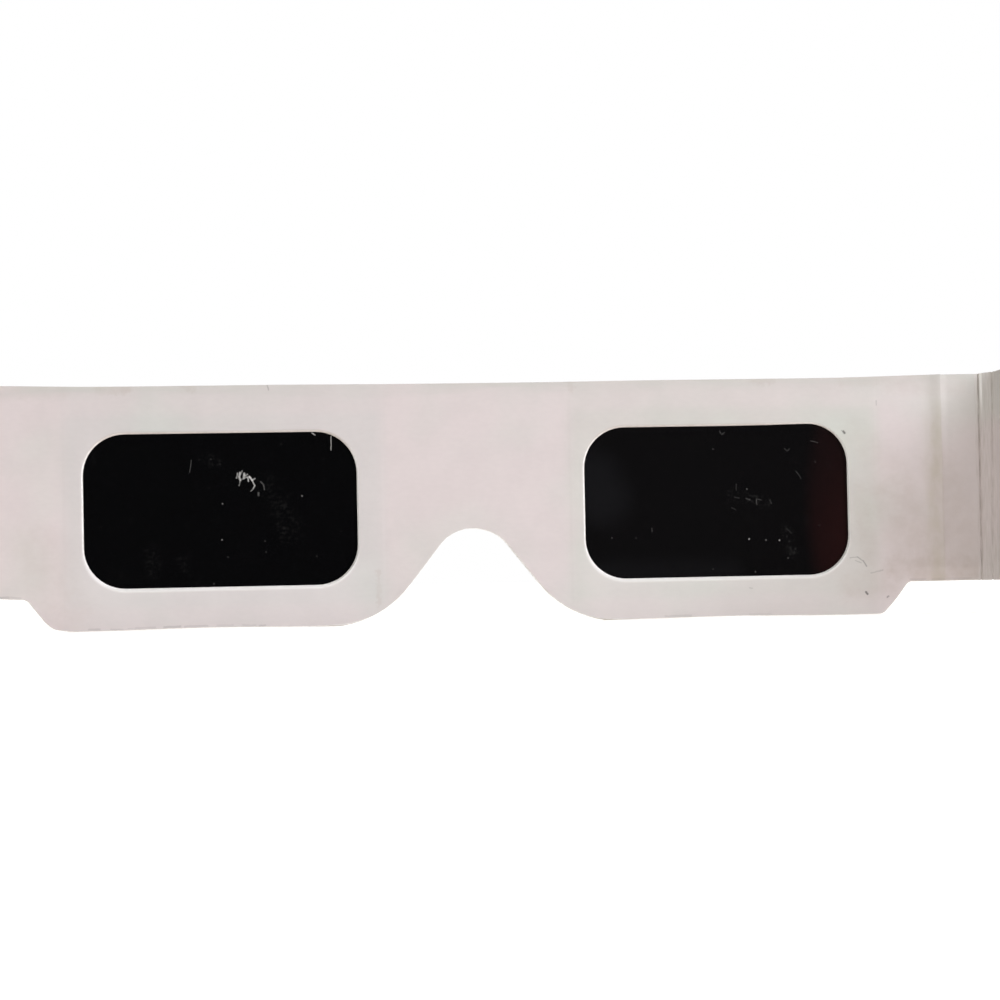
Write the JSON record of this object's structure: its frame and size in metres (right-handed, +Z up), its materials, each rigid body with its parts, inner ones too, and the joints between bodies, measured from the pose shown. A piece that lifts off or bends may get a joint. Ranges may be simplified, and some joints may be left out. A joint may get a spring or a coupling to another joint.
{
  "type": "eclipse glasses",
  "caption": "Folding paper eclipse glasses: a card front with opaque filter film in two rounded windows, a nose notch, and creased card arms with ear hooks.",
  "frame": {"origin": "middle of the bridge on the face turned to the sun, level with the middle of the windows", "axes": "+X to the wearer's right, along the front; +Y the way the wearer looks, out of the sun's side; +Z up"},
  "size_m": [0.359, 0.0741, 0.0342],
  "materials": {
    "outer_card": "uncoated inside, lightly calendered outside",
    "liner_card": "uncoated",
    "filter_film": "glossy black polymer film, opaque to ordinary light",
    "glue": "dried white glue, hidden between the cards"
  },
  "bodies": {
    "front": {"outer_front": "outer_card", "wearer_liner": "liner_card", "left_filter": "filter_film", "right_filter": "filter_film", "glue_layer": "glue", "left_crease": "outer_card", "right_crease": "outer_card"},
    "left_arm_body": {"left_arm": "outer_card"},
    "right_arm_body": {"right_arm": "outer_card"}
  },
  "joints": [
    {"name": "right_fold", "type": "hinge", "parent": "front", "child": "right_arm_body", "pos_m": [0.07391, -0.00081, -0.0163], "axis": [0, 0, -1], "range_deg": [-35, 145], "deforming": ["right_crease"]},
    {"name": "left_fold", "type": "hinge", "parent": "front", "child": "left_arm_body", "pos_m": [-0.07391, -0.00081, -0.0163], "axis": [0, 0, 1], "range_deg": [-35, 143], "deforming": ["left_crease"]}
  ]
}
